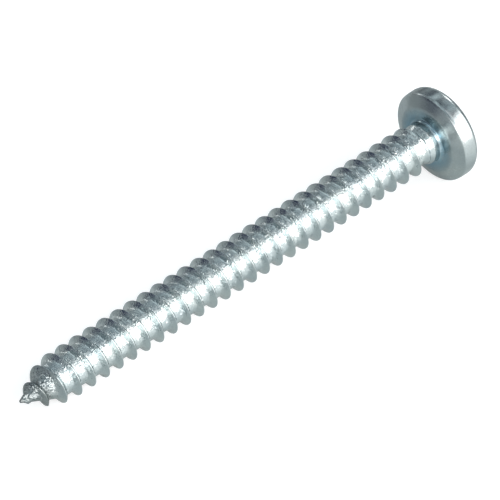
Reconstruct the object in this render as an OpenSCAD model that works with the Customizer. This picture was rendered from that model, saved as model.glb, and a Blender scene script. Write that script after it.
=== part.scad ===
// Sheet metal screw with a pan head and a cone point, lying on its side as it comes to rest.
// It is one solid: head with a cross recess, neck, threaded shank and thread-cutting point.
// All lengths are in millimetres. The point looks to -X and the head to +X.

/* [Thread] */
// Diameter over the crests of the thread
thread_diameter = 4.72; // [4.6:0.02:4.8]
// Diameter of the core between two turns
core_diameter = 3.5; // [3.4:0.05:3.6]
// Distance from one turn to the next
pitch = 1.59; // [1.5:0.01:1.7]
// Width of the land on top of the crest
crest_width = 0.12; // [0.08:0.01:0.2]
// Angle between the two flanks
flank_angle = 60; // [50:1:66]

/* [Shank] */
// Length from the bearing face to the end of the point
shank_length = 49.4; // [48.8:0.1:50.6]
// Diameter of the plain neck under the head
neck_diameter = 4.1; // [3.9:0.05:4.3]
// Length of the plain neck that shows under the head
neck_length = 0.9; // [0.7:0.1:1.3]
// Radius of the fillet between neck and bearing face
neck_fillet = 0.35; // [0.2:0.05:0.5]
// Length over which the last turn sinks into the neck
runout_length = 1.9; // [1.5:0.1:2.5]

/* [Point] */
// Length of the cone that the core ends in
cone_length = 3.7; // [3.2:0.1:4.4]
// Length over which the crests grow to their full diameter
crest_growth = 5; // [4.6:0.1:6]
// Diameter of the small blunt end
blunt_diameter = 0.26; // [0.2:0.02:0.4]

/* [Head] */
// Diameter of the head
head_diameter = 9.3; // [9.1:0.05:9.5]
// Height of the head over the bearing face
head_height = 3.6; // [3.5:0.05:3.8]
// Radius of the dome
dome_radius = 8; // [7.6:0.1:9]
// Radius between the side of the head and the dome
shoulder_radius = 0.7; // [0.5:0.05:1]
// Radius of the flat part of the bearing face
bearing_radius = 3.1; // [3:0.05:3.3]
// Slope of the underside from the flat part out to the edge under the rim
underside_slope = 26; // [20:1:30]
// Radius of the soft bend from the flat part into that slope
bend_radius = 1; // [0.6:0.1:1.4]
// Radius of the slight bulge of the side wall over that edge
wall_radius = 7.2; // [5:0.2:10]
// Height of the widest ring of the head over the bearing face
widest_height = 1.45; // [1.35:0.05:1.5]

/* [Recess] */
// Distance across two opposite wings at the height of the dome's top
recess_span = 4.9; // [4.6:0.1:5.1]
// Thickness of one wing
wing_width = 1.1; // [1:0.05:1.3]
// Depth from the top of the dome to the floor of the wings
recess_depth = 2.5; // [2.2:0.1:2.6]
// Slope of the outer end of a wing against the axis
wing_slope = 26.5; // [24:0.5:28]
// Angle of the shallow cone in the floor
floor_angle = 138; // [130:1:150]
// Turn of the cross about the axis, against the start of the thread
recess_turn = 22.5; // [0:2.5:90]

/* [Pose] */
// Turn of the screw about its own axis, with the edges of a facet level on the ground
roll_angle = 202.5; // [4.5:9:355.5]

/* [Hidden] */
$fn = 96;
facets_per_turn = 40;
overlap = 0.3;
merge_gap = 0.04;
growth_power = 2.2;
crest_radius = thread_diameter / 2;
core_radius = core_diameter / 2;
neck_radius = neck_diameter / 2;
blunt_radius = blunt_diameter / 2;
head_radius = head_diameter / 2;
flank_width = (crest_radius - core_radius) * tan(flank_angle / 2);
neck_start = shank_length - neck_length;
neck_taper = neck_radius - core_radius + overlap;
thread_end = shank_length - neck_length / 2;
sunk_radius = neck_radius - 0.1;
hub_top_radius = 1.34;
hub_floor_radius = 1.13;

// lying down, the bulge of the side wall and the first full crest touch the ground
resting_crest_z = 5.4;
widest_ring_z = shank_length + widest_height;
reach_along = widest_ring_z - resting_crest_z;
reach_across = crest_radius - head_radius + wall_radius;
reach = sqrt(pow(reach_along, 2) + pow(reach_across, 2));
rise_angle = asin(wall_radius / reach) - atan(reach_across / reach_along);
end_height = crest_radius * cos(rise_angle) - resting_crest_z * sin(rise_angle);
length_on_ground = (shank_length + head_height) * cos(rise_angle);

// offsets along the axis and heights, as a share of the full one, of one turn's outline
turn_offsets = [-crest_width / 2 - flank_width, -crest_width / 2, crest_width / 2, crest_width / 2 + flank_width];
turn_heights = [0, 1, 1, 0];
outline_points = len(turn_offsets);
first_step = -facets_per_turn;
last_step = ceil(facets_per_turn * (thread_end / pitch + 1));
step_count = last_step - first_step + 1;
grid_points = step_count * outline_points;

function clamp(value, low, high) = max(low, min(high, value));

// radius of the core, a cone at the point and a cylinder behind it
function core_at(z) = blunt_radius + (core_radius - blunt_radius) * clamp(z / cone_length, 0, 1);

// radius of the crests as they grow from the point, before the last turn sinks
function grown_crest(z) = crest_radius * (1 - pow(1 - clamp(z / crest_growth, 0, 1), growth_power));

// share by which the last turn has sunk under the surface of the neck
function sunk_share(z) = clamp((z - thread_end + runout_length) / runout_length, 0, 1);

function crest_at(z) = max(core_at(z), grown_crest(z) - (crest_radius - sunk_radius) * sunk_share(z));

function radius_at(z, height) = core_at(z) + height * (crest_at(z) - core_at(z));

function step_z(step, k) = pitch * step / facets_per_turn + turn_offsets[k];

function ring_point(step, radius, z) = [
    radius * cos(360 * step / facets_per_turn),
    radius * sin(360 * step / facets_per_turn),
    z
];

// number of a grid point, with points outside the thread moved to the ring that closes its end
function grid_index(step, k) =
    k == outline_points ? grid_index(step + facets_per_turn, 0)
    : step > last_step || step_z(step, k) > thread_end - merge_gap ? grid_points + facets_per_turn + ring_step(step)
    : step < first_step || step_z(step, k) < merge_gap ? grid_points + ring_step(step)
    : (step - first_step) * outline_points + k;

function ring_step(step) = (step + 2 * facets_per_turn) % facets_per_turn;

function is_triangle(t) = t[0] != t[1] && t[1] != t[2] && t[2] != t[0];

// the threaded core with its point, as one closed skin that follows the helix
module threaded_core() {
    grid = [
        for (step = [first_step : last_step])
            for (k = [0 : outline_points - 1])
                ring_point(step, radius_at(step_z(step, k), turn_heights[k]), step_z(step, k))
    ];
    start_ring = [for (s = [0 : facets_per_turn - 1]) ring_point(s, blunt_radius, 0)];
    end_ring = [for (s = [0 : facets_per_turn - 1]) ring_point(s, core_radius, thread_end)];
    skin = [
        for (step = [first_step : last_step - 1])
            for (k = [0 : outline_points - 1])
                for (t = [
                    [grid_index(step, k), grid_index(step, k + 1), grid_index(step + 1, k + 1)],
                    [grid_index(step, k), grid_index(step + 1, k + 1), grid_index(step + 1, k)]
                ])
                    if (is_triangle(t)) t
    ];
    start_cap = [for (s = [0 : facets_per_turn - 1]) grid_points + s];
    end_cap = [for (s = [facets_per_turn - 1 : -1 : 0]) grid_points + facets_per_turn + s];
    color("silver")
        polyhedron(points = concat(grid, start_ring, end_ring), faces = concat(skin, [start_cap, end_cap]));
}

// half of the outline of the head above the bearing face
module head_outline() {
    shoulder_x = head_radius - shoulder_radius;
    dome_centre = head_height - dome_radius;
    shoulder_z = dome_centre + sqrt(pow(dome_radius - shoulder_radius, 2) - pow(shoulder_x, 2));
    tangent_x = shoulder_x * dome_radius / (dome_radius - shoulder_radius);
    difference() {
        union() {
            square([head_radius, shoulder_z]);
            translate([shoulder_x, shoulder_z])
                circle(shoulder_radius);
            intersection() {
                translate([0, dome_centre])
                    circle(dome_radius);
                square([tangent_x, head_height]);
            }
        }
        below_underside();
        outside_of_wall();
    }
}

// what lies below the slope of the underside, with the soft bend where the slope starts
module below_underside() {
    bend_end_x = bearing_radius + bend_radius * sin(underside_slope);
    bend_end_z = bend_radius * (1 - cos(underside_slope));
    outer_x = head_radius + overlap;
    difference() {
        translate([bearing_radius, -overlap])
            square([outer_x - bearing_radius, overlap + bend_end_z]);
        translate([bearing_radius, bend_radius])
            circle(bend_radius);
    }
    polygon([
        [bend_end_x, -overlap],
        [outer_x, -overlap],
        [outer_x, bend_end_z + (outer_x - bend_end_x) * tan(underside_slope)],
        [bend_end_x, bend_end_z]
    ]);
}

// what lies outside of the bulge of the side wall below the widest ring
module outside_of_wall() {
    difference() {
        translate([bearing_radius, -overlap])
            square([head_radius, widest_height + overlap]);
        translate([head_radius - wall_radius, widest_height])
            circle(wall_radius);
    }
}

// half of the outline of the neck with its fillet and the taper that meets the core
module neck_outline() {
    polygon([
        [0, neck_start - neck_taper],
        [core_radius - overlap, neck_start - neck_taper],
        [neck_radius, neck_start],
        [neck_radius, shank_length + overlap],
        [0, shank_length + overlap]
    ]);
    difference() {
        translate([neck_radius - overlap, shank_length - neck_fillet])
            square([neck_fillet + overlap, neck_fillet + overlap]);
        translate([neck_radius + neck_fillet, shank_length - neck_fillet])
            circle(neck_fillet);
    }
}

// the cross recess, measured downwards from the top of the dome
module recess() {
    top_radius = recess_span / 2;
    floor_radius = top_radius - recess_depth * tan(wing_slope);
    cone_depth = floor_radius / tan(floor_angle / 2);
    translate([0, 0, shank_length + head_height])
        rotate([0, 0, recess_turn])
            intersection() {
                rotate_extrude()
                    polygon([
                        [0, -recess_depth - cone_depth],
                        [floor_radius, -recess_depth],
                        [top_radius, 0],
                        [top_radius, 1],
                        [0, 1]
                    ]);
                union() {
                    for (turn = [0, 90])
                        rotate([0, 0, turn])
                            translate([-top_radius - 1, -wing_width / 2, -recess_depth - 1])
                                cube([2 * top_radius + 2, wing_width, recess_depth + 2]);
                    translate([0, 0, -recess_depth - 1])
                        cylinder(h = recess_depth + 2, r1 = hub_floor_radius, r2 = hub_top_radius, $fn = 4);
                }
            }
}

module head() {
    color("silver")
        difference() {
            rotate_extrude()
                union() {
                    translate([0, shank_length])
                        head_outline();
                    neck_outline();
                }
            recess();
        }
}

module screw() {
    translate([-length_on_ground / 2, 0, end_height])
        rotate([0, 90 - rise_angle, 0])
            rotate([0, 0, roll_angle])
                union() {
                    threaded_core();
                    head();
                }
}

screw();
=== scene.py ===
import math

import bmesh
import bpy
from mathutils import Matrix, Vector, noise


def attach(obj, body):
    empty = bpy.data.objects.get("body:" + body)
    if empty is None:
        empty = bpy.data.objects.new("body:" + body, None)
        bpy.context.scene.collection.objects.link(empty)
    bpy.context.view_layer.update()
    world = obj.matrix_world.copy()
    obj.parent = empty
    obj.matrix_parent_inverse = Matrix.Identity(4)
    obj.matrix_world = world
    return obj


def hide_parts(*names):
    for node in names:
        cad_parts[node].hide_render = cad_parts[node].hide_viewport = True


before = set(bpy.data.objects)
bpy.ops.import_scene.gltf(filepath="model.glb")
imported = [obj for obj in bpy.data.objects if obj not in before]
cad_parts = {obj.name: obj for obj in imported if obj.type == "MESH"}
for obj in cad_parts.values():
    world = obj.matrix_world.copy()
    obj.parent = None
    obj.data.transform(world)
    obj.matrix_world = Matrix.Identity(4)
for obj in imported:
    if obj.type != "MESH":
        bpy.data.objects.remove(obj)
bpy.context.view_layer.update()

# Lengths of the screw are in millimetres, along its own axis from the point to the head.
MM = 0.001
COLUMNS = 96
SKIN_CLEARANCE = 0.007
SHARP_ANGLE = math.radians(38)

# Threaded shank
PITCH = 1.59
CREST_RADIUS = 2.36
CORE_RADIUS = 1.73
LAND_WIDTH = 0.045
FLANK_WIDTH = 0.372
TIP_SIDE_FILLET = 0.36
HEAD_SIDE_FILLET = 0.13
SHANK_LENGTH = 49.4

# Places across one turn where its outline has a point, counted from the crest
PROFILE_OFFSETS = (
    -0.795, -0.715, -0.632, -0.56, -0.49, -0.42, -0.355, -0.287, -0.19, -0.1, -0.05, -0.0225,
    0.0, 0.0225, 0.05, 0.1, 0.19, 0.287, 0.355, 0.42, 0.49, 0.56, 0.632, 0.715,
)

# Cone point
BLUNT_RADIUS = 0.13
CONE_LENGTH = 3.7
CREST_GROWTH = 5.0
GROWTH_POWER = 2.2

# Neck under the head, and the run-out of the thread into it
NECK_RADIUS = 2.05
NECK_LENGTH = 0.9
NECK_FILLET = 0.35
NECK_TAPER = 0.6
NECK_BLEND = 0.06
RUNOUT_START = 47.3
RUNOUT_LENGTH = 0.95
SUNK_RADIUS = 1.8

# Marks of the rolling dies: shallow dents in the skin, and ragged crests
BROAD_DENT = 0.7
BROAD_DEPTH = 0.012
FINE_DENT = 0.24
FINE_DEPTH = 0.004
FINE_SEED = Vector((11.0, 3.0, 5.0))
DENTS_GROWTH = 0.5
CREST_RAGGED = 0.03
RAGGED_LENGTH = 0.9
RAGGED_SEED = 7.0

# Head, measured from the bearing face
HEAD_RADIUS = 4.65
HEAD_HEIGHT = 3.6
DOME_RADIUS = 8.0
SHOULDER_RADIUS = 0.7
BEARING_RINGS = (2.7, 3.0)
BEARING_RADIUS = 3.1
UNDERSIDE_SLOPE = 26
BEND_RADIUS = 1.0
WALL_RADIUS = 7.2
WIDEST_HEIGHT = 1.45
EDGE_ROUNDING = 0.17

# Cross recess
RECESS_SPAN = 4.9
RECESS_DEPTH = 2.5
RECESS_TURN = math.radians(22.5)
WING_WIDTH = 1.1
WING_SLOPE = math.radians(26.5)
DOME_FALL_AT_WING = 0.3
FLOOR_ANGLE = math.radians(138)
FLOOR_NARROWING = 0.03
HUB_FLAT = 0.92
# Its soft lip: height over the dome, and how much wider than the wing the cut is there
LIP = ((0.5, 0.07), (0.02, 0.06), (-0.04, 0.012), (-0.1, 0.0))
CUTTER_LID = 0.6
SLIVER = 0.003

# Lying down: the crest that touches the ground, and the turn of the screw about its axis
RESTING_CREST = 5.4
ROLL = math.radians(202.5)

# Where the surface was rolled, and where the point was cut
ROLLED_END = SHANK_LENGTH - 0.3
ROLLED_FADE = 0.6
PITTED_END = CONE_LENGTH - 0.4
PITTED_FADE = 1.0
PITS_LOST_ON_RIDGE = 0.8
LEAST_RIDGE = 0.1

# Dull plating on the point and on its nib
POINT_DARKNESS = 0.42
POINT_END = CONE_LENGTH + 0.3
POINT_FADE = 2.0
NIB_DARKNESS = 0.25
NIB_END = 0.35
NIB_FADE = 0.25

# Grime and painted shade in the corner under the head: angle about the axis and half width in degrees, and
# darkness
CORNER_GRIME_AND_SHADE = ((308, 30, 0.5), (42, 9, 0.6))
GRIME_AND_SHADE_REACH = 1.6
GRIME_AND_SHADE_SPOTS = 0.8
SPOT_SIZE = 0.4
DARKEST_TONE = 0.3
CORNER_BELOW_FACE = 0.3
CORNER_HALF_LENGTH = 0.5
CORNER_RADIUS = 2.7
CORNER_FADE = 0.3

# Painted blue-teal reflection in that corner: where it lies, and what it adds to red, green and blue
PAINTED_REFLECTION_BELOW_FACE = 0.4
PAINTED_REFLECTION_GROWTH = 0.3
PAINTED_REFLECTION_RADIUS = 3.5
PAINTED_REFLECTION_FADE = 1.0
PAINTED_REFLECTION_COVER = 0.9
PAINTED_REFLECTION_SPOTS = 0.5
PAINTED_REFLECTION_TINT = (-0.33, -0.08, 0.08)
TINTED_END = SHANK_LENGTH + 0.4
UNTINTED = (1.0, 1.0, 1.0, 1.0)

# Patterns of the plated skin
CLOUD_SIZE = 2.4
DULL_PATCH_SIZE = 0.8
SPECK_SIZE = 0.14
LANE_LENGTH = 1.4
LANE_WIDTH = 0.1
LANE_DEPTH = 0.012
PIT_SIZE = 0.24
PIT_DEPTH = 0.1
# Real zinc crystals are some hundredths of a millimetre, too fine to show, so they are drawn coarser.
CRYSTAL_SIZE = 0.17
CRYSTAL_DEPTH = 0.04
FACET_SIZE = 0.2

# Room, in headings from the head's side (+X) to the left. The floor's reach is in metres.
DARK_CORNER = math.radians(147)
DARK_CORNER_EDGE = math.radians(20)
DARK_CORNER_CORE = math.radians(8)
PALE_CORNER = math.radians(182)
PALE_CORNER_EDGE = math.radians(35)
PALE_CORNER_RISE = 0.3
PALE_CORNER_LIFT = 1.35
LIGHT_PATCH = 2.4
FLOOR_REACH = 1.5

# Lamps: heading and elevation in degrees, width and height in metres, and radiance
LAMP_DISTANCE = 0.6
LAMPS = (
    ("right_softbox", -53, 26, 0.7, 0.58, 2.65),
    ("front_softbox", -110, 24, 0.56, 0.52, 2.65),
    ("left_softbox", -154, 6, 0.36, 0.26, 4.6),
    ("small_card", 21, 37, 0.15, 0.13, 6.0),
    ("back_card", 98, 21, 0.15, 0.13, 2.4),
    ("top_card", -64, 70, 0.3, 0.26, 0.7),
)

# Camera, from the photo's perspective: its place in millimetres, and the nearest that it sees in metres
CAMERA_PLACE = Vector((-168.658, -186.286, 219.338))
CAMERA_AZIMUTH = math.radians(-42.251)
CAMERA_ELEVATION = math.radians(40.561)
CAMERA_LENS = 263.65
SENSOR_WIDTH = 36.0
NEAREST_SEEN = 0.01


def clamp(value, low=0.0, high=1.0):
    return max(low, min(high, value))


def soft_max(a, b, width):
    """The larger of two values, with a fillet of the given width where they cross."""
    gap = clamp(0.5 + 0.5 * (a - b) / width)
    return b + (a - b) * gap + width * gap * (1.0 - gap)


def lying_matrix():
    """Turns the screw about its axis, lays it on its head's wall and a crest, and scales it to metres."""
    along = SHANK_LENGTH + WIDEST_HEIGHT - RESTING_CREST
    across = CREST_RADIUS - HEAD_RADIUS + WALL_RADIUS
    rise = math.asin(WALL_RADIUS / math.hypot(along, across)) - math.atan(across / along)
    end_height = CREST_RADIUS * math.cos(rise) - RESTING_CREST * math.sin(rise)
    length = (SHANK_LENGTH + HEAD_HEIGHT) * math.cos(rise)
    start = Vector((-length / 2, 0.0, end_height)) * MM
    lie = Matrix.Rotation(math.pi / 2 - rise, 4, "Y")
    roll = Matrix.Rotation(ROLL, 4, "Z")
    return Matrix.Translation(start) @ lie @ roll @ Matrix.Scale(MM, 4)


# The thread
def ridge_share(offset):
    """Height of the ridge, from 0 on the core to 1 on the crest, with a rounded root and a crisp crest."""
    full = CREST_RADIUS - CORE_RADIUS
    slope = full / FLANK_WIDTH
    radius = TIP_SIDE_FILLET if offset < 0 else HEAD_SIDE_FILLET
    tangent = radius * math.tan(math.atan(slope) / 2)
    beyond_foot = abs(offset) - LAND_WIDTH / 2 - FLANK_WIDTH
    if beyond_foot > tangent:
        return 0.0
    if beyond_foot > -tangent * math.cos(math.atan(slope)):
        height = radius - math.sqrt(radius ** 2 - (tangent - beyond_foot) ** 2)
        return height / full
    return min(-beyond_foot * slope / full, 1.0)


def core_at(z):
    return BLUNT_RADIUS + (CORE_RADIUS - BLUNT_RADIUS) * clamp(z / CONE_LENGTH)


def crest_at(z):
    grown = CREST_RADIUS * (1.0 - (1.0 - clamp(z / CREST_GROWTH)) ** GROWTH_POWER)
    sunk = clamp((z - RUNOUT_START) / RUNOUT_LENGTH)
    return max(core_at(z), grown - (CREST_RADIUS - SUNK_RADIUS) * sunk)


def neck_at(z):
    start = SHANK_LENGTH - NECK_LENGTH
    return NECK_RADIUS - max(0.0, start - z) * (NECK_RADIUS - CORE_RADIUS) / NECK_TAPER


def rolled_waviness(angle, z):
    """Shallow dents that the rolling dies leave."""
    place = Vector((CORE_RADIUS * math.cos(angle), CORE_RADIUS * math.sin(angle), z))
    broad = noise.noise(place / BROAD_DENT)
    fine = noise.noise(place / FINE_DENT + FINE_SEED)
    return BROAD_DEPTH * broad + FINE_DEPTH * fine


def thread_radius(z, share, angle):
    """Radius of the shank's skin, where the ridge has the given share of its height."""
    core = core_at(z)
    top = crest_at(z) - SKIN_CLEARANCE
    place = Vector((z / RAGGED_LENGTH, math.cos(angle), RAGGED_SEED + math.sin(angle)))
    ragged = CREST_RAGGED * (0.5 + 0.5 * noise.noise(place))
    radius = core + (top - ragged - core) * share
    radius += rolled_waviness(angle, z) * clamp(z / DENTS_GROWTH) * (1.0 - 0.5 * share)
    return soft_max(min(radius, top), neck_at(z), NECK_BLEND)


def add_ring(vertices, radius, z):
    """Adds a ring of vertices about the axis, and gives their numbers."""
    start = len(vertices)
    for column in range(COLUMNS):
        angle = 2 * math.pi * column / COLUMNS
        vertices.append((radius * math.cos(angle), radius * math.sin(angle), z))
    return range(start, start + COLUMNS)


def thread_skin(vertices, faces):
    """Adds the threaded shank, from a small ring at the point to a plain ring on the neck."""
    per_turn = len(PROFILE_OFFSETS)
    fillet_gap = 0.02
    merge_gap = 0.015
    end_z = SHANK_LENGTH - NECK_FILLET - fillet_gap
    last = math.ceil(COLUMNS * (end_z / PITCH + 1))
    shares = [ridge_share(offset) for offset in PROFILE_OFFSETS]
    point_ring = add_ring(vertices, BLUNT_RADIUS, 0.0)
    neck_ring = add_ring(vertices, NECK_RADIUS, end_z)
    numbers = {}

    def vertex(step, k):
        if k == per_turn:
            return vertex(step + COLUMNS, 0)
        z = PITCH * step / COLUMNS + PROFILE_OFFSETS[k]
        if z > end_z - merge_gap:
            return neck_ring[step % COLUMNS]
        if z < merge_gap:
            return point_ring[step % COLUMNS]
        if (step, k) not in numbers:
            angle = 2 * math.pi * step / COLUMNS
            radius = thread_radius(z, shares[k], angle)
            numbers[step, k] = len(vertices)
            vertices.append((radius * math.cos(angle), radius * math.sin(angle), z))
        return numbers[step, k]

    for step in range(-COLUMNS, last):
        for k in range(per_turn):
            corners = [vertex(step, k), vertex(step + 1, k), vertex(step + 1, k + 1), vertex(step, k + 1)]
            face = list(dict.fromkeys(corners))
            if len(face) > 2:
                faces.append(face)
    return point_ring, neck_ring


# The head
def arc(centre, radius, start, end, steps):
    """Points on an arc in the (radius, height) plane, angles in degrees."""
    points = []
    for i in range(steps + 1):
        angle = math.radians(start + (end - start) * i / steps)
        points.append((centre[0] + radius * math.cos(angle), centre[1] + radius * math.sin(angle)))
    return points


def edge_under_rim(start, slope, wall_centre):
    """How far the slope of the underside runs until it meets the wall."""
    offset = Vector(start) - Vector(wall_centre)
    along = offset.dot((math.cos(slope), math.sin(slope)))
    return math.sqrt(along ** 2 - offset.length_squared + WALL_RADIUS ** 2) - along


def head_outline():
    """Radius and height of the head's skin, from the neck fillet up to the top of the dome."""
    dome_centre = HEAD_HEIGHT - DOME_RADIUS
    shoulder_x = HEAD_RADIUS - SHOULDER_RADIUS
    inner = DOME_RADIUS - SHOULDER_RADIUS
    shoulder_z = dome_centre + math.sqrt(inner ** 2 - shoulder_x ** 2)
    tangent = math.degrees(math.acos(shoulder_x / inner))
    slope = math.radians(UNDERSIDE_SLOPE)
    slope_steps = 4
    edge_steps = 6

    points = arc((NECK_RADIUS + NECK_FILLET, -NECK_FILLET), NECK_FILLET, 180, 90, steps=8)
    points += [(radius, 0.0) for radius in BEARING_RINGS]
    points += arc((BEARING_RADIUS, BEND_RADIUS), BEND_RADIUS, -90, UNDERSIDE_SLOPE - 90, steps=6)
    bend_end = points[-1]
    wall_centre = (HEAD_RADIUS - WALL_RADIUS, WIDEST_HEIGHT)
    reach = edge_under_rim(bend_end, slope, wall_centre)

    def on_slope(distance):
        return (bend_end[0] + distance * math.cos(slope), bend_end[1] + distance * math.sin(slope))

    edge = on_slope(reach)
    edge_angle = math.asin((edge[1] - WIDEST_HEIGHT) / WALL_RADIUS)
    wall_start = math.degrees(edge_angle + EDGE_ROUNDING / WALL_RADIUS)
    wall = arc(wall_centre, WALL_RADIUS, wall_start, 0, steps=6)
    points += [on_slope((reach - EDGE_ROUNDING) * i / slope_steps) for i in range(1, slope_steps + 1)]
    under = points[-1]
    for i in range(1, edge_steps):
        t = i / edge_steps
        points.append(tuple(
            (1 - t) ** 2 * a + 2 * t * (1 - t) * b + t ** 2 * c
            for a, b, c in zip(under, edge, wall[0])
        ))
    points += wall
    points += arc((shoulder_x, shoulder_z), SHOULDER_RADIUS, 0, tangent, steps=10)
    points += arc((0.0, dome_centre), DOME_RADIUS, tangent, 90, steps=24)[1:-1]
    return [(radius, SHANK_LENGTH + height) for radius, height in points]


def head_skin(vertices, faces, neck_ring):
    """Adds the head, from the ring on the neck to the top of the dome."""
    below = neck_ring
    for radius, z in head_outline():
        above = add_ring(vertices, radius * (1.0 - SKIN_CLEARANCE / HEAD_RADIUS), z)
        for column in range(COLUMNS):
            following = (column + 1) % COLUMNS
            faces.append([below[column], below[following], above[following], above[column]])
        below = above
    top = len(vertices)
    vertices.append((0.0, 0.0, SHANK_LENGTH + HEAD_HEIGHT))
    for column in range(COLUMNS):
        faces.append([below[column], below[(column + 1) % COLUMNS], top])


def recess_outline(wing_length, growth):
    """Outline of the cross, with rounded wing ends and a square hub, wider by a growth on all sides."""
    half = WING_WIDTH / 2 + growth
    hub_corner = math.sqrt(2) * (HUB_FLAT + growth) - half
    reach = wing_length + growth
    spread = math.asin(half / reach)
    end_steps = 4
    quarter = []
    for i in range(end_steps + 1):
        angle = -spread + 2 * spread * i / end_steps
        quarter.append((reach * math.cos(angle), reach * math.sin(angle)))
    quarter.append((hub_corner, half))
    quarter.append((half, hub_corner))
    points = []
    for turn in range(4):
        angle = RECESS_TURN + turn * math.pi / 2
        for x, y in quarter:
            turned_x = x * math.cos(angle) - y * math.sin(angle)
            turned_y = x * math.sin(angle) + y * math.cos(angle)
            points.append((turned_x, turned_y))
    return points


def recess_cutter():
    """Solid of the cross recess, with a soft lip where it opens through the dome."""
    top_z = SHANK_LENGTH + HEAD_HEIGHT

    def dome_z(radius):
        return top_z - DOME_RADIUS + math.sqrt(DOME_RADIUS ** 2 - radius ** 2)

    def wing_length(depth):
        return RECESS_SPAN / 2 - depth * math.tan(WING_SLOPE)

    cutter = bmesh.new()
    surface = dome_z(wing_length(DOME_FALL_AT_WING))
    rings = []
    for above, growth in LIP:
        points = recess_outline(wing_length(top_z - surface - above), growth)
        rings.append([cutter.verts.new((x, y, dome_z(math.hypot(x, y)) + above)) for x, y in points])
    floor_radius = wing_length(RECESS_DEPTH)
    slope = math.tan(FLOOR_ANGLE / 2)
    floor = []
    for x, y in recess_outline(floor_radius, -FLOOR_NARROWING):
        sink = (floor_radius - math.hypot(x, y)) / slope
        floor.append(cutter.verts.new((x, y, top_z - RECESS_DEPTH - sink)))
    rings.append(floor)
    for upper, lower in zip(rings, rings[1:]):
        for i in range(len(upper)):
            j = (i + 1) % len(upper)
            cutter.faces.new((upper[i], lower[i], lower[j], upper[j]))
    lid = cutter.verts.new((0, 0, top_z + CUTTER_LID))
    centre = cutter.verts.new((0, 0, top_z - RECESS_DEPTH - floor_radius / slope))
    for i in range(len(floor)):
        j = (i + 1) % len(floor)
        cutter.faces.new((lid, rings[0][i], rings[0][j]))
        cutter.faces.new((centre, floor[j], floor[i]))
    bmesh.ops.recalc_face_normals(cutter, faces=cutter.faces)
    return cutter


# The whole screw
def mesh_object(name, build):
    mesh = bpy.data.meshes.new(name)
    build.to_mesh(mesh)
    build.free()
    piece = bpy.data.objects.new(name, mesh)
    bpy.context.collection.objects.link(piece)
    return piece


def skin_colour(radius, z, angle):
    """Tint of the plating, from the dull nib of the point to the corner under the head, which has grime with
    painted shade and a painted blue reflection.
    """
    if z >= TINTED_END:
        return UNTINTED
    tone = 1.0 - POINT_DARKNESS * clamp((POINT_END - z) / POINT_FADE)
    tone -= NIB_DARKNESS * clamp((NIB_END - z) / NIB_FADE)
    # the corner under the head is darkened by grime and painted shade
    in_corner = clamp(1.0 - abs(z - SHANK_LENGTH + CORNER_BELOW_FACE) / CORNER_HALF_LENGTH)
    in_corner *= clamp((CORNER_RADIUS - radius) / CORNER_FADE)
    spots = noise.noise(Vector((radius * math.cos(angle), radius * math.sin(angle), z)) / SPOT_SIZE)
    for heading, half_width, darkness in CORNER_GRIME_AND_SHADE:
        away = abs((math.degrees(angle) - heading + 180) % 360 - 180)
        tone -= darkness * in_corner * clamp(GRIME_AND_SHADE_REACH - away / half_width + GRIME_AND_SHADE_SPOTS * spots)
    tone = max(tone, DARKEST_TONE)
    # painted blue-teal reflection on the neck fillet and the bearing face round it
    painted_reflection = clamp((z - SHANK_LENGTH + PAINTED_REFLECTION_BELOW_FACE) / PAINTED_REFLECTION_GROWTH)
    painted_reflection *= clamp((PAINTED_REFLECTION_RADIUS - radius) / PAINTED_REFLECTION_FADE) * clamp(PAINTED_REFLECTION_COVER + PAINTED_REFLECTION_SPOTS * spots)
    return (*(tone * (1.0 + change * painted_reflection) for change in PAINTED_REFLECTION_TINT), 1.0)


def mark_surface(mesh):
    """Stores where the surface was rolled and cut, its tint with painted shade and a painted blue reflection
    under the head, and a map along and across the rolling.
    """
    zones = mesh.color_attributes.new("zones", "FLOAT_COLOR", "POINT")
    plating = mesh.color_attributes.new("plating", "FLOAT_COLOR", "POINT")
    for vertex, zone, tint in zip(mesh.vertices, zones.data, plating.data):
        x, y, z = vertex.co
        core = core_at(z)
        ridge = clamp((math.hypot(x, y) - core) / max(crest_at(z) - core, LEAST_RIDGE))
        rolled = clamp((ROLLED_END - z) / ROLLED_FADE)
        pitted = clamp((PITTED_END - z) / PITTED_FADE) * (1.0 - PITS_LOST_ON_RIDGE * ridge)
        zone.color = (rolled, pitted, ridge, 1.0)
        tint.color = skin_colour(math.hypot(x, y), z, math.atan2(y, x))
    lanes = mesh.uv_layers.new(name="rolling")
    for face in mesh.polygons:
        angles = [math.atan2(mesh.vertices[i].co.y, mesh.vertices[i].co.x) for i in face.vertices]
        wraps = max(angles) - min(angles) > math.pi
        for loop, i, angle in zip(face.loop_indices, face.vertices, angles):
            turn = (angle + 2 * math.pi if wraps and angle < 0 else angle) / (2 * math.pi)
            across = mesh.vertices[i].co.z - PITCH * turn
            lanes.data[loop].uv = (turn * 2 * math.pi * CORE_RADIUS, across)


def cut_recess(screw):
    """Cuts the cross recess, and merges the slivers that the cut leaves at its lip."""
    cutter = mesh_object("recess_cutter", recess_cutter())
    cut = screw.modifiers.new("recess", "BOOLEAN")
    cut.object = cutter
    cut.operation = "DIFFERENCE"
    cut.solver = "MANIFOLD"
    bpy.context.view_layer.update()
    graph = bpy.context.evaluated_depsgraph_get()
    result = bpy.data.meshes.new_from_object(screw.evaluated_get(graph))
    screw.modifiers.clear()
    screw.data = result
    bpy.data.objects.remove(cutter)
    cleaned = bmesh.new()
    cleaned.from_mesh(result)
    bmesh.ops.remove_doubles(cleaned, verts=cleaned.verts, dist=SLIVER)
    bmesh.ops.dissolve_degenerate(cleaned, edges=cleaned.edges, dist=SLIVER)
    cleaned.to_mesh(result)
    cleaned.free()


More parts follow.
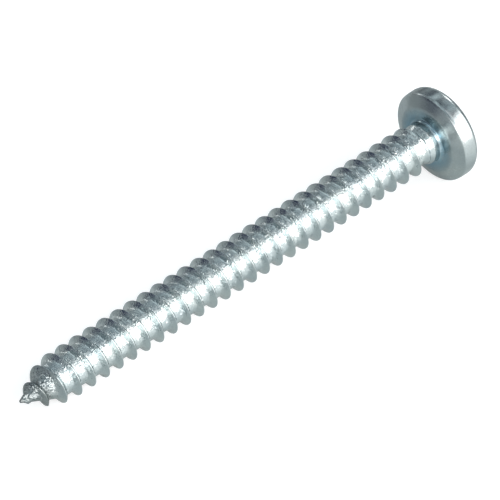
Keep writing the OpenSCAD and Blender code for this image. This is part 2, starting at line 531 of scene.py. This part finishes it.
def build_screw():
    vertices = []
    faces = []
    point_ring, neck_ring = thread_skin(vertices, faces)
    end = len(vertices)
    vertices.append((0.0, 0.0, 0.0))
    for column in range(COLUMNS):
        faces.append([point_ring[(column + 1) % COLUMNS], point_ring[column], end])
    head_skin(vertices, faces, neck_ring)
    mesh = bpy.data.meshes.new("screw_skin")
    mesh.from_pydata(vertices, [], faces)
    skin = bmesh.new()
    skin.from_mesh(mesh)
    loose = [v for v in skin.verts if not v.link_faces]
    bmesh.ops.delete(skin, geom=loose, context="VERTS")
    bmesh.ops.recalc_face_normals(skin, faces=skin.faces)
    screw = mesh_object("zinc_plated_screw", skin)
    cut_recess(screw)
    mark_surface(screw.data)
    screw.data.transform(lying_matrix())
    screw.data.shade_smooth()
    screw.data.set_sharp_from_angle(angle=SHARP_ANGLE)
    return screw


# Materials
def linear(hex_colour, strength=1.0):
    """An sRGB hex colour as linear RGBA, times a strength."""
    channels = []
    for i in (0, 2, 4):
        value = int(hex_colour[i:i + 2], 16) / 255
        value = value / 12.92 if value <= 0.04045 else ((value + 0.055) / 1.055) ** 2.4
        channels.append(value * strength)
    return (*channels, 1.0)


def new_material(name):
    material = bpy.data.materials.new(name)
    material.use_nodes = True
    material.node_tree.nodes.clear()
    return material


def add_node(tree, kind, inputs=None, ramp=(), **settings):
    """Adds a node with its settings, and links or sets its inputs by name or number.

    The stops of a ramp are pairs of a place and a colour.
    """
    node = tree.nodes.new("ShaderNode" + kind)
    for name, value in settings.items():
        setattr(node, name, value)
    for name, source in (inputs or {}).items():
        socket = next(s for i, s in enumerate(node.inputs) if name in (i, s.name) and not s.is_linked)
        if isinstance(source, bpy.types.NodeSocket):
            tree.links.new(source, socket)
        else:
            socket.default_value = source
    for i, (place, colour) in enumerate(ramp):
        stops = node.color_ramp.elements
        stop = stops[i] if i < len(stops) else stops.new(place)
        stop.position = place
        stop.color = colour
    return node


def zinc_plated_steel():
    """Cold-headed and thread-rolled steel with bright zinc plating and a blue-white passivation.

    The head is smooth and mirrors softly, the rolled shank glitters with fine zinc crystals
    and lanes along the thread, and the cut point is coarser.
    """
    material = new_material("bright_zinc_plated_steel")
    tree = material.node_tree
    place = add_node(tree, "TexCoord").outputs["Object"]
    zones = add_node(tree, "VertexColor", layer_name="zones")
    zone = add_node(tree, "SeparateColor", {"Color": zones.outputs["Color"]})
    rolled = zone.outputs["Red"]
    point = zone.outputs["Green"]
    ridge = zone.outputs["Blue"]

    # blue-white film, with broad clouds of a darker and a paler shade
    clouds = add_node(
        tree, "TexNoise",
        {"Vector": place, "Scale": 1 / (CLOUD_SIZE * MM), "Detail": 3.0, "Roughness": 0.55})
    film = add_node(
        tree, "ValToRGB", {"Fac": clouds.outputs["Fac"]},
        ramp=((0.36, linear("b9c4c6")), (0.64, linear("c5cecd"))))

    # the upset head is darker than the rolled thread, and all of it has fine specks
    head_tone = add_node(tree, "MapRange", {"Value": rolled, "To Min": 0.82, "To Max": 1.0})
    specks = add_node(
        tree, "TexNoise",
        {"Vector": place, "Scale": 1 / (SPECK_SIZE * MM), "Detail": 2.0, "Roughness": 0.7})
    speck_tone = add_node(
        tree, "MapRange",
        {"Value": specks.outputs["Fac"], "From Min": 0.35, "From Max": 0.65, "To Min": 0.92, "To Max": 1.05})
    speckled = add_node(
        tree, "Math", {0: head_tone.outputs["Result"], 1: speck_tone.outputs["Result"]},
        operation="MULTIPLY")
    # the vertex tint: a duller point, and grime with painted shade and a painted blue reflection in the
    # corner under the head
    plating = add_node(tree, "VertexColor", layer_name="plating")
    stains_and_painted_light = add_node(
        tree, "Mix", {"Factor": 1.0, 6: film.outputs["Color"], 7: plating.outputs["Color"]},
        data_type="RGBA", blend_type="MULTIPLY")
    toned = add_node(
        tree, "Mix", {"Factor": 1.0, 6: stains_and_painted_light.outputs[2], 7: speckled.outputs[0]},
        data_type="RGBA", blend_type="MULTIPLY")

    # zinc crystals, flatter towards the crests and hardly there on the head
    crystals = add_node(
        tree, "TexNoise",
        {"Vector": place, "Scale": 1 / (CRYSTAL_SIZE * MM), "Detail": 2.0, "Roughness": 0.6})
    on_core = add_node(tree, "Math", {0: ridge, 1: -0.7, 2: 1.0}, operation="MULTIPLY_ADD")
    on_thread = add_node(tree, "Math", {0: on_core.outputs[0], 1: rolled}, operation="MULTIPLY")
    with_head = add_node(tree, "Math", {0: on_thread.outputs[0], 1: 0.08}, operation="ADD")
    crystal_bump = add_node(
        tree, "Bump",
        {
            "Height": crystals.outputs["Fac"],
            "Strength": with_head.outputs[0],
            "Distance": CRYSTAL_DEPTH * MM,
        })

    # lanes that the dies press along the thread
    lane_place = add_node(tree, "UVMap", uv_map="rolling")
    lane_scale = add_node(
        tree, "Mapping",
        {"Vector": lane_place.outputs["UV"], "Scale": (1 / LANE_LENGTH, 1 / LANE_WIDTH, 1.0)})
    lanes = add_node(
        tree, "TexNoise",
        {"Vector": lane_scale.outputs["Vector"], "Scale": 1.0, "Detail": 1.0, "Roughness": 0.5},
        noise_dimensions="2D")
    lane_bump = add_node(
        tree, "Bump",
        {
            "Height": lanes.outputs["Fac"],
            "Strength": on_thread.outputs[0],
            "Distance": LANE_DEPTH * MM,
            "Normal": crystal_bump.outputs["Normal"],
        })

    # pits in the cut point
    pits = add_node(tree, "TexVoronoi", {"Vector": place, "Scale": 1 / (PIT_SIZE * MM)})
    point_bump = add_node(
        tree, "Bump",
        {
            "Height": pits.outputs["Distance"],
            "Strength": point,
            "Distance": PIT_DEPTH * MM,
            "Normal": lane_bump.outputs["Normal"],
        })

    # the plating is brighter in some places and duller in others, and dullest on the head and the point
    dull = add_node(
        tree, "TexNoise",
        {"Vector": place, "Scale": 1 / (DULL_PATCH_SIZE * MM), "Detail": 3.0, "Roughness": 0.6})
    roughness = add_node(
        tree, "MapRange",
        {"Value": dull.outputs["Fac"], "From Min": 0.3, "From Max": 0.7, "To Min": 0.08, "To Max": 0.2})
    head_dullness = add_node(tree, "Math", {0: rolled, 1: -0.08, 2: 0.08}, operation="MULTIPLY_ADD")
    point_dullness = add_node(
        tree, "Math", {0: point, 1: 0.16, 2: head_dullness.outputs[0]}, operation="MULTIPLY_ADD")
    all_roughness = add_node(
        tree, "Math", {0: roughness.outputs["Result"], 1: point_dullness.outputs[0]}, operation="ADD")

    # each crystal's facet leans its own way, and one in six leans far enough to glint
    facets = add_node(tree, "TexVoronoi", {"Vector": place, "Scale": 1 / (FACET_SIZE * MM)})
    lean = add_node(
        tree, "VectorMath", {0: facets.outputs["Color"], 1: (0.5, 0.5, 0.5)}, operation="SUBTRACT")
    crystal = add_node(tree, "SeparateColor", {"Color": facets.outputs["Color"]})
    far = add_node(
        tree, "MapRange",
        {"Value": crystal.outputs["Blue"], "From Min": 0.8, "From Max": 0.9, "To Min": 0.1, "To Max": 0.45})
    on_point = add_node(tree, "Math", {0: point, 1: 0.38}, operation="MULTIPLY")
    lean_share = add_node(
        tree, "Math", {0: on_thread.outputs[0], 1: far.outputs["Result"], 2: on_point.outputs[0]},
        operation="MULTIPLY_ADD")
    leaning = add_node(
        tree, "VectorMath", {0: lean.outputs["Vector"], "Scale": lean_share.outputs[0]},
        operation="SCALE")
    with_lean = add_node(
        tree, "VectorMath", {0: point_bump.outputs["Normal"], 1: leaning.outputs["Vector"]},
        operation="ADD")
    sparkling = add_node(tree, "VectorMath", {0: with_lean.outputs["Vector"]}, operation="NORMALIZE")

    shader = add_node(
        tree, "BsdfPrincipled",
        {
            "Base Color": toned.outputs[2],
            "Metallic": 1.0,
            "Roughness": all_roughness.outputs[0],
            "Normal": sparkling.outputs["Vector"],
        })
    add_node(tree, "OutputMaterial", {"Surface": shader.outputs["BSDF"]})
    return material


def white_floor():
    """Satin white sheet. It is plain paper white from above and mirrors softly at a low angle.

    The eye sees it near white, with the soft shadow of the screw, and the metal sees it as it is lit.
    """
    material = new_material("satin_white_floor")
    tree = material.node_tree
    path = add_node(tree, "LightPath")
    paper = add_node(tree, "BsdfDiffuse", {"Color": linear("b4bdbd")})
    gloss = add_node(tree, "BsdfGlossy", {"Color": linear("c4c8c9"), "Roughness": 0.3})
    slant = add_node(tree, "LayerWeight", {"Blend": 0.5})
    gloss_share = add_node(tree, "Math", {0: slant.outputs["Facing"], 1: 0.9}, operation="MULTIPLY")
    not_eye = add_node(tree, "Math", {0: 1.0, 1: path.outputs["Is Camera Ray"]}, operation="SUBTRACT")
    share_in_metal = add_node(
        tree, "Math", {0: gloss_share.outputs[0], 1: not_eye.outputs[0]}, operation="MULTIPLY")
    sheet = add_node(
        tree, "MixShader", {"Fac": share_in_metal.outputs[0], 1: paper.outputs[0], 2: gloss.outputs[0]})
    reflected = add_node(
        tree, "Math", {0: path.outputs["Is Glossy Ray"], 1: path.outputs["Is Transmission Ray"]},
        operation="ADD")
    reflected_glow = add_node(tree, "Math", {0: reflected.outputs[0], 1: 0.12}, operation="MULTIPLY")
    glow_share = add_node(
        tree, "Math", {0: path.outputs["Is Camera Ray"], 1: 0.68, 2: reflected_glow.outputs[0]},
        operation="MULTIPLY_ADD")
    glow = add_node(tree, "Emission", {"Strength": glow_share.outputs[0], "Color": linear("fffbfb")})
    both = add_node(tree, "AddShader", {0: sheet.outputs[0], 1: glow.outputs[0]})
    add_node(tree, "OutputMaterial", {"Surface": both.outputs[0]})
    return material


# Stage
def add_floor():
    mesh = bpy.data.meshes.new("floor")
    corners = [(x * FLOOR_REACH, y * FLOOR_REACH, 0) for x, y in ((-1, -1), (1, -1), (1, 1), (-1, 1))]
    mesh.from_pydata(corners, [], [(0, 1, 2, 3)])
    floor = bpy.data.objects.new("floor", mesh)
    bpy.context.collection.objects.link(floor)
    floor.data.materials.append(white_floor())


def add_world():
    """Grey room with darker and lighter things in it, a dark corner and a pale one.

    The eye sees plain white.
    """
    world = bpy.data.worlds.new("studio")
    bpy.context.scene.world = world
    world.use_nodes = True
    tree = world.node_tree
    tree.nodes.clear()
    place = add_node(tree, "TexCoord").outputs["Generated"]
    height = add_node(tree, "SeparateXYZ", {"Vector": place})
    walls = add_node(
        tree, "ValToRGB", {"Fac": height.outputs["Z"]},
        ramp=((0.0, linear("9da1a3")), (0.95, linear("a2adb3"))))
    things = add_node(tree, "TexNoise", {"Vector": place, "Scale": 4.6, "Detail": 2.0, "Roughness": 0.65})
    patches = add_node(
        tree, "ValToRGB", {"Fac": things.outputs["Fac"]},
        ramp=((0.4, linear("3f4c68")), (0.5, linear("fbfbfa")), (0.6, linear("fffffd", LIGHT_PATCH))))
    furnished = add_node(
        tree, "Mix", {"Factor": 1.0, 6: walls.outputs["Color"], 7: patches.outputs["Color"]},
        data_type="RGBA", blend_type="MULTIPLY")

    to_dark = (math.cos(DARK_CORNER), math.sin(DARK_CORNER), 0.0)
    near_dark = add_node(tree, "VectorMath", {0: place, 1: to_dark}, operation="DOT_PRODUCT")
    shade = add_node(
        tree, "MapRange",
        {
            "Value": near_dark.outputs["Value"],
            "From Min": math.cos(DARK_CORNER_EDGE),
            "From Max": math.cos(DARK_CORNER_CORE),
        })
    shaded = add_node(
        tree, "Mix", {"Factor": shade.outputs["Result"], 6: furnished.outputs[2], 7: linear("2c3350")},
        data_type="RGBA")

    to_pale = (math.cos(PALE_CORNER), math.sin(PALE_CORNER), PALE_CORNER_RISE)
    near_pale = add_node(tree, "VectorMath", {0: place, 1: to_pale}, operation="DOT_PRODUCT")
    lift = add_node(
        tree, "MapRange",
        {
            "Value": near_pale.outputs["Value"],
            "From Min": math.cos(PALE_CORNER_EDGE),
            "To Min": 1.0,
            "To Max": PALE_CORNER_LIFT,
        })

    room = add_node(tree, "Background", {"Color": shaded.outputs[2], "Strength": lift.outputs["Result"]})
    white = add_node(tree, "Background", {"Color": linear("ffffff"), "Strength": 1.0})
    path = add_node(tree, "LightPath")
    seen = add_node(
        tree, "Math", {0: path.outputs["Is Camera Ray"], 1: path.outputs["Is Transmission Ray"]},
        operation="ADD")
    mix = add_node(tree, "MixShader", {"Fac": seen.outputs[0], 1: room.outputs[0], 2: white.outputs[0]})
    add_node(tree, "OutputWorld", {"Surface": mix.outputs[0]})


def add_lamp(name, heading, elevation, width, height, radiance):
    """A soft box or card that faces the screw, a little warmer than the grey of the room."""
    a = math.radians(heading)
    e = math.radians(elevation)
    direction = Vector((math.cos(a) * math.cos(e), math.sin(a) * math.cos(e), math.sin(e)))
    lamp = bpy.data.lights.new(name, "AREA")
    lamp.shape = "RECTANGLE"
    lamp.size = width
    lamp.size_y = height
    lamp.energy = radiance * math.pi * width * height
    lamp.color = linear("fff8f6")[:3]
    box = bpy.data.objects.new(name, lamp)
    box.location = direction * LAMP_DISTANCE
    box.rotation_euler = direction.to_track_quat("Z", "Y").to_euler()
    box.visible_camera = False
    bpy.context.collection.objects.link(box)


def add_camera():
    """Long lens on the point's side of the screw, looking down on it."""
    camera = bpy.data.cameras.new("camera")
    camera.lens = CAMERA_LENS
    camera.sensor_width = SENSOR_WIDTH
    camera.clip_start = NEAREST_SEEN
    body = bpy.data.objects.new("camera", camera)
    body.location = CAMERA_PLACE * MM
    forward = Vector((
        -math.sin(CAMERA_AZIMUTH) * math.cos(CAMERA_ELEVATION),
        math.cos(CAMERA_AZIMUTH) * math.cos(CAMERA_ELEVATION),
        -math.sin(CAMERA_ELEVATION),
    ))
    body.rotation_euler = forward.to_track_quat("-Z", "Y").to_euler()
    bpy.context.collection.objects.link(body)
    bpy.context.scene.camera = body


screw = build_screw()
screw.data.materials.clear()
screw.data.materials.append(zinc_plated_steel())
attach(screw, "root")
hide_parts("screw")

add_floor()
add_world()
for lamp in LAMPS:
    add_lamp(*lamp)
add_camera()
bpy.context.scene.view_settings.view_transform = "Standard"
